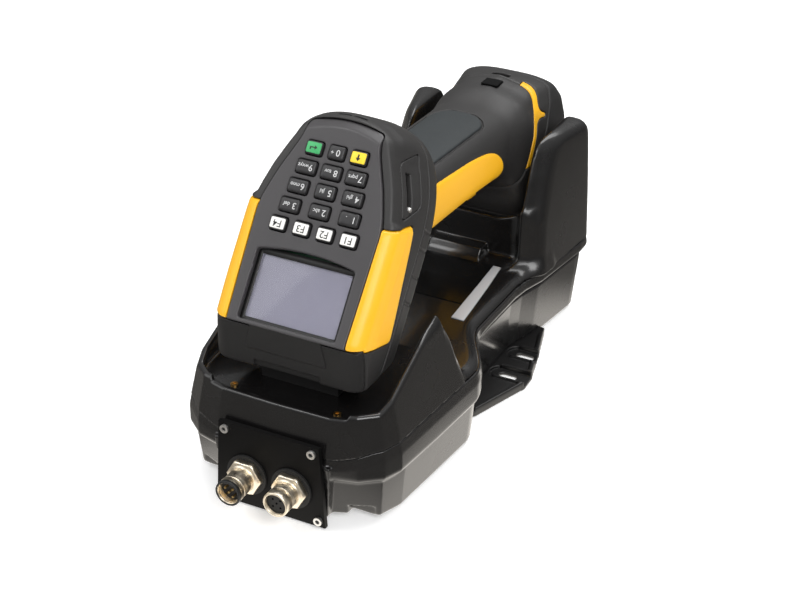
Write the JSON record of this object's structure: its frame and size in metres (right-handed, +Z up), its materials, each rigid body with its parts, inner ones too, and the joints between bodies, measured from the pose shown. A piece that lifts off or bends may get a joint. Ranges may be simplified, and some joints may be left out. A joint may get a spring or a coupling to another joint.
{
  "type": "cordless_barcode_scanner",
  "caption": "Cordless hand scanner with keypad and display standing in its black charging base with round connectors",
  "frame": {"origin": "Middle of the flat underside of the mounting bracket, on the table", "axes": "+X to the right of someone facing the display, +Y from the connector plate towards the scanner head, +Z up"},
  "size_m": [0.114, 0.263, 0.1583],
  "materials": {
    "base_plastic": "gloss moulded black plastic",
    "label": "blank satin black label film",
    "black_trim": "fine matte black plastic",
    "rubber": "matte black rubber",
    "nickel": "bright nickel plate",
    "contact_gold": "polished gold plate",
    "circuit": "green solder mask",
    "scanner_shell": "fine textured charcoal plastic",
    "face": "fine matte dark grey plastic",
    "yellow": "satin golden yellow plastic",
    "grip": "ribbed slate grey rubber",
    "glass": "clear to smoked glass",
    "display": "grey lavender display",
    "cell": "blue film wrap",
    "key_dark": "matte dark grey rubber with white digits",
    "key_white": "matte white rubber with black legends",
    "key_green": "matte green rubber"
  },
  "bodies": {
    "base": {"base_tub": "base_plastic", "base_top": "base_plastic", "deck_label": "label", "connector_plate": "black_trim", "plate_screws": "nickel", "m12_shells": "nickel", "m12_gaskets": "rubber", "m12_inserts": "black_trim", "m12_pins": "contact_gold", "wall_bracket": "base_plastic", "rubber_feet": "rubber", "base_screws": "nickel", "base_board": "circuit", "contact_block": "base_plastic", "brass_screws": "contact_gold", "nose_pad": "rubber"},
    "contact_left": {"contact_pin_left": "contact_gold"},
    "contact_right": {"contact_pin_right": "contact_gold"},
    "scanner": {"foot_rear_shell": "scanner_shell", "foot_front_frame": "scanner_shell", "foot_side_bands": "yellow", "face_plate": "face", "end_bumper": "rubber", "display_window": "glass", "display_panel": "display", "key_mat": "rubber", "main_board": "circuit", "beeper": "black_trim", "charge_pads": "contact_gold", "lanyard_panel": "black_trim", "gun_body": "scanner_shell", "grip_pad": "grip", "handle_bands": "yellow", "battery": "cell", "trigger_pin": "nickel", "trigger_switch": "circuit", "head_cover": "scanner_shell", "head_trim": "yellow", "head_bumper": "rubber", "nose_bezel": "black_trim", "scan_window": "glass", "scan_engine": "circuit", "lamp_window": "glass"},
    "trigger": {"trigger": "yellow"},
    "press_f1": {"key_f1": "key_white"},
    "press_f2": {"key_f2": "key_white"},
    "press_f3": {"key_f3": "key_white"},
    "press_f4": {"key_f4": "key_white"},
    "press_1": {"key_1": "key_dark"},
    "press_2": {"key_2": "key_dark"},
    "press_3": {"key_3": "key_dark"},
    "press_4": {"key_4": "key_dark"},
    "press_5": {"key_5": "key_dark"},
    "press_6": {"key_6": "key_dark"},
    "press_7": {"key_7": "key_dark"},
    "press_8": {"key_8": "key_dark"},
    "press_9": {"key_9": "key_dark"},
    "press_0": {"key_0": "key_dark"},
    "press_enter": {"key_enter": "key_green"},
    "press_arrow": {"key_arrow": "yellow"}
  },
  "joints": [
    {"name": "scanner_lift", "type": "slide", "parent": "base", "child": "scanner", "axis": [0, 0, 1], "range_m": [0, 0.13]},
    {"name": "trigger_pivot", "type": "hinge", "parent": "scanner", "child": "trigger", "pos_m": [0, 0.077, 0.086], "axis": [-1, 0, 0], "range_deg": [0, 7], "stiffness_Nm_per_rad": 0.4, "springref_deg": -5.73},
    {"name": "contact_left_press", "type": "slide", "parent": "base", "child": "contact_left", "axis": [0, 0, -1], "range_m": [0, 0.0015], "stiffness_N_per_m": 200, "springref_m": -0.001},
    {"name": "contact_right_press", "type": "slide", "parent": "base", "child": "contact_right", "axis": [0, 0, -1], "range_m": [0, 0.0015], "stiffness_N_per_m": 200, "springref_m": -0.001},
    {"name": "key_f1_press", "type": "slide", "parent": "scanner", "child": "press_f1", "axis": [0, 0.7934, -0.6088], "range_m": [0, 0.0008], "stiffness_N_per_m": 250, "springref_m": -0.0008},
    {"name": "key_f2_press", "type": "slide", "parent": "scanner", "child": "press_f2", "axis": [0, 0.7934, -0.6088], "range_m": [0, 0.0008], "stiffness_N_per_m": 250, "springref_m": -0.0008},
    {"name": "key_f3_press", "type": "slide", "parent": "scanner", "child": "press_f3", "axis": [0, 0.7934, -0.6088], "range_m": [0, 0.0008], "stiffness_N_per_m": 250, "springref_m": -0.0008},
    {"name": "key_f4_press", "type": "slide", "parent": "scanner", "child": "press_f4", "axis": [0, 0.7934, -0.6088], "range_m": [0, 0.0008], "stiffness_N_per_m": 250, "springref_m": -0.0008},
    {"name": "key_1_press", "type": "slide", "parent": "scanner", "child": "press_1", "axis": [0, 0.7934, -0.6088], "range_m": [0, 0.0008], "stiffness_N_per_m": 250, "springref_m": -0.0008},
    {"name": "key_2_press", "type": "slide", "parent": "scanner", "child": "press_2", "axis": [0, 0.7934, -0.6088], "range_m": [0, 0.0008], "stiffness_N_per_m": 250, "springref_m": -0.0008},
    {"name": "key_3_press", "type": "slide", "parent": "scanner", "child": "press_3", "axis": [0, 0.7934, -0.6088], "range_m": [0, 0.0008], "stiffness_N_per_m": 250, "springref_m": -0.0008},
    {"name": "key_4_press", "type": "slide", "parent": "scanner", "child": "press_4", "axis": [0, 0.7934, -0.6088], "range_m": [0, 0.0008], "stiffness_N_per_m": 250, "springref_m": -0.0008},
    {"name": "key_5_press", "type": "slide", "parent": "scanner", "child": "press_5", "axis": [0, 0.7934, -0.6088], "range_m": [0, 0.0008], "stiffness_N_per_m": 250, "springref_m": -0.0008},
    {"name": "key_6_press", "type": "slide", "parent": "scanner", "child": "press_6", "axis": [0, 0.7934, -0.6088], "range_m": [0, 0.0008], "stiffness_N_per_m": 250, "springref_m": -0.0008},
    {"name": "key_7_press", "type": "slide", "parent": "scanner", "child": "press_7", "axis": [0, 0.7934, -0.6088], "range_m": [0, 0.0008], "stiffness_N_per_m": 250, "springref_m": -0.0008},
    {"name": "key_8_press", "type": "slide", "parent": "scanner", "child": "press_8", "axis": [0, 0.7934, -0.6088], "range_m": [0, 0.0008], "stiffness_N_per_m": 250, "springref_m": -0.0008},
    {"name": "key_9_press", "type": "slide", "parent": "scanner", "child": "press_9", "axis": [0, 0.7934, -0.6088], "range_m": [0, 0.0008], "stiffness_N_per_m": 250, "springref_m": -0.0008},
    {"name": "key_0_press", "type": "slide", "parent": "scanner", "child": "press_0", "axis": [0, 0.7934, -0.6088], "range_m": [0, 0.0008], "stiffness_N_per_m": 250, "springref_m": -0.0008},
    {"name": "key_enter_press", "type": "slide", "parent": "scanner", "child": "press_enter", "axis": [0, 0.7934, -0.6088], "range_m": [0, 0.0008], "stiffness_N_per_m": 250, "springref_m": -0.0008},
    {"name": "key_arrow_press", "type": "slide", "parent": "scanner", "child": "press_arrow", "axis": [0, 0.7934, -0.6088], "range_m": [0, 0.0008], "stiffness_N_per_m": 250, "springref_m": -0.0008}
  ]
}
